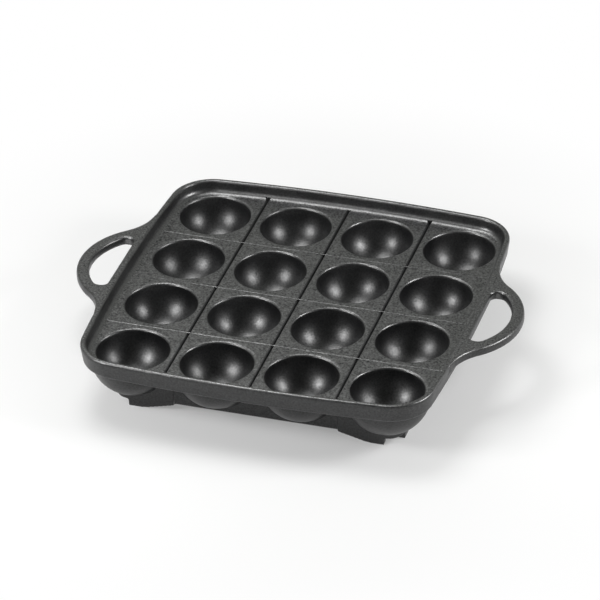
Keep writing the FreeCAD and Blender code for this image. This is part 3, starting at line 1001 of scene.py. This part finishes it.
@dataclass(frozen=True)
class View:
    """The camera: it stands at the front right, above the pan."""

    turn: float = 17.99
    elevation: float = 32.81
    roll: float = -1.496
    lens: float = 264.11
    sensor: float = 36.0
    distance: float = 2.3794
    aim_right: float = -0.987 * MM
    aim_up: float = 0.668 * MM
    deck_middle: Corner = (-0.4 * MM, 0.3 * MM, 29.6 * MM)
    sees_as_far_as: float = 20.0

    def place(self) -> None:
        """Puts the camera in the scene."""
        around, up, roll = (math.radians(angle) for angle in (self.turn, self.elevation, self.roll))
        level = Vector((math.cos(around), math.sin(around), 0))
        ahead = Vector((-math.sin(around), math.cos(around), 0))
        back = -math.cos(up) * ahead + math.sin(up) * Vector((0, 0, 1))
        top = math.sin(up) * ahead + math.cos(up) * Vector((0, 0, 1))
        right = math.cos(roll) * level + math.sin(roll) * top
        upward = -math.sin(roll) * level + math.cos(roll) * top
        data = bpy.data.cameras.new("camera")
        data.lens = self.lens
        data.sensor_width = self.sensor
        data.clip_end = self.sees_as_far_as
        camera = bpy.data.objects.new("camera", data)
        pose = Matrix((right, upward, back)).transposed().to_4x4()
        deck = Vector(self.deck_middle)
        pose.translation = deck + back * self.distance - right * self.aim_right - upward * self.aim_up
        camera.matrix_world = pose
        bpy.context.scene.collection.objects.link(camera)
        bpy.context.scene.camera = camera


@dataclass
class Studio:
    """A pale table under three soft boxes, in a dim room with a pale backdrop.

    The table is whitened by table_lift near the pan, more from lift_from on, and wholly from lift_to on.
    """

    lamps: tuple[Lamp, ...] = (
        Lamp("lamp_right", 84.0, 30.5, width=0.2, watts=2.1),
        Lamp("lamp_left", -133.0, 34.0, width=0.2, watts=1.85),
        Lamp("lamp_above", -65.0, 71.0, width=0.3, watts=1.7),
    )
    view: View = View()
    table_colour: str = "#f2f2f2"
    table_lift: float = 0.3
    lift_from: float = 0.13
    lift_to: float = 0.28
    table_size: float = 60.0
    room: float = 0.06
    sheet_edge: Span = (0.2, 0.75)
    horizon: Span = (0.0, -0.01)
    backdrop: float = 0.39
    backdrop_colour: str = "#fcfff9"

    def build(self) -> None:
        """Puts up the table, the lamps, the world and the camera."""
        self.table()
        self.world()
        for lamp in self.lamps:
            lamp.place()
        self.view.place()
        bpy.context.scene.view_settings.view_transform = "Standard"

    def table(self) -> None:
        """A matt white table top. It keeps the pan's shadow, whitens further off, and is clear from below."""
        bpy.ops.object.select_all(action="DESELECT")
        bpy.ops.mesh.primitive_plane_add(size=self.table_size, location=(0, 0, 0))
        top = bpy.context.object
        top.name = "table_top"
        material, tree = empty_material("matt_white_laminate")
        place = add_node(tree, "ShaderNodeTexCoord").outputs["Object"]
        away = add_node(tree, "ShaderNodeVectorMath", {0: place}, operation="LENGTH")
        lift = add_node(tree, "ShaderNodeMapRange",
                        {"Value": away.outputs["Value"], "From Min": self.lift_from, "From Max": self.lift_to,
                         "To Min": self.table_lift, "To Max": 1.0}, interpolation_type="SMOOTHSTEP")
        paths = add_node(tree, "ShaderNodeLightPath").outputs
        seen = combined(tree, "MAXIMUM", paths["Is Camera Ray"], paths["Is Glossy Ray"])
        seen = combined(tree, "MAXIMUM", seen, paths["Is Transmission Ray"])
        whitened = combined(tree, "MULTIPLY", seen, lift.outputs["Result"])
        card = add_node(tree, "ShaderNodeBsdfDiffuse", {"Color": linear(self.table_colour)})
        white = add_node(tree, "ShaderNodeEmission", {"Strength": 1.0})
        upper = add_node(tree, "ShaderNodeMixShader", {0: whitened, 1: card.outputs[0], 2: white.outputs[0]})
        behind = add_node(tree, "ShaderNodeNewGeometry").outputs["Backfacing"]
        clear = add_node(tree, "ShaderNodeBsdfTransparent")
        sided = add_node(tree, "ShaderNodeMixShader", {0: behind, 1: upper.outputs[0], 2: clear.outputs[0]})
        add_node(tree, "ShaderNodeOutputMaterial", {"Surface": sided.outputs[0]})
        top.data.materials.append(material)

    def world(self) -> None:
        """A dim room with a pale backdrop behind the pan, and white under the table, for every ray alike."""
        world = bpy.data.worlds.new("studio")
        bpy.context.scene.world = world
        world.use_nodes = True
        tree = world.node_tree
        tree.nodes.clear()
        direction = add_node(tree, "ShaderNodeTexCoord").outputs["Generated"]
        behind = tuple(towards(-self.view.turn, self.view.elevation))
        facing = add_node(tree, "ShaderNodeVectorMath", {0: direction, 1: behind}, operation="DOT_PRODUCT")
        sheet = add_node(tree, "ShaderNodeMapRange",
                         {"Value": facing.outputs["Value"], "From Min": self.sheet_edge[0],
                          "From Max": self.sheet_edge[1], "To Min": self.room, "To Max": self.backdrop},
                         interpolation_type="SMOOTHSTEP")
        height = add_node(tree, "ShaderNodeSeparateXYZ", {"Vector": direction}).outputs["Z"]
        under = ramp(tree, height, self.horizon)
        level = add_node(tree, "ShaderNodeMix", {0: under, 2: sheet.outputs[0], 3: 1.0})
        background = add_node(tree, "ShaderNodeBackground",
                              {"Color": linear(self.backdrop_colour), "Strength": level.outputs[0]})
        add_node(tree, "ShaderNodeOutputWorld", {"Surface": background.outputs[0]})


# ---------------------------------------------------------------- the pan


@dataclass
class Pan:
    """The dressed pan: the parted casting in its finish."""

    sizes: PanSizes
    finish: SeasonedIron = SeasonedIron()
    smooth_below: float = math.radians(38)

    def build(self) -> None:
        """Models the casting, parts it, dresses each piece, attaches it to the body and hides the imported
        node that it stands for.
        """
        casting = Casting(self.sizes)
        casting.model()
        pieces = Parting(self.sizes, casting).part()
        material = self.finish.material()
        for node, piece in sorted(pieces.items()):
            self.dress(piece, material)
            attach(piece, BODY)
            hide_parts(node)
            LOG.info("%s: %d faces", piece.name, len(piece.data.polygons))

    def dress(self, piece: Mesh, material: bpy.types.Material) -> None:
        """Smooths a piece's shading and gives it its finish."""
        activate(piece)
        bpy.ops.object.shade_smooth_by_angle(angle=self.smooth_below)
        piece.data.materials.clear()
        piece.data.materials.append(material)


def main() -> None:
    """Builds the studio and the pan."""
    logging.basicConfig(level=logging.INFO, format="%(message)s")
    Studio().build()
    Pan(PanSizes()).build()


if __name__ == "__main__":
    main()
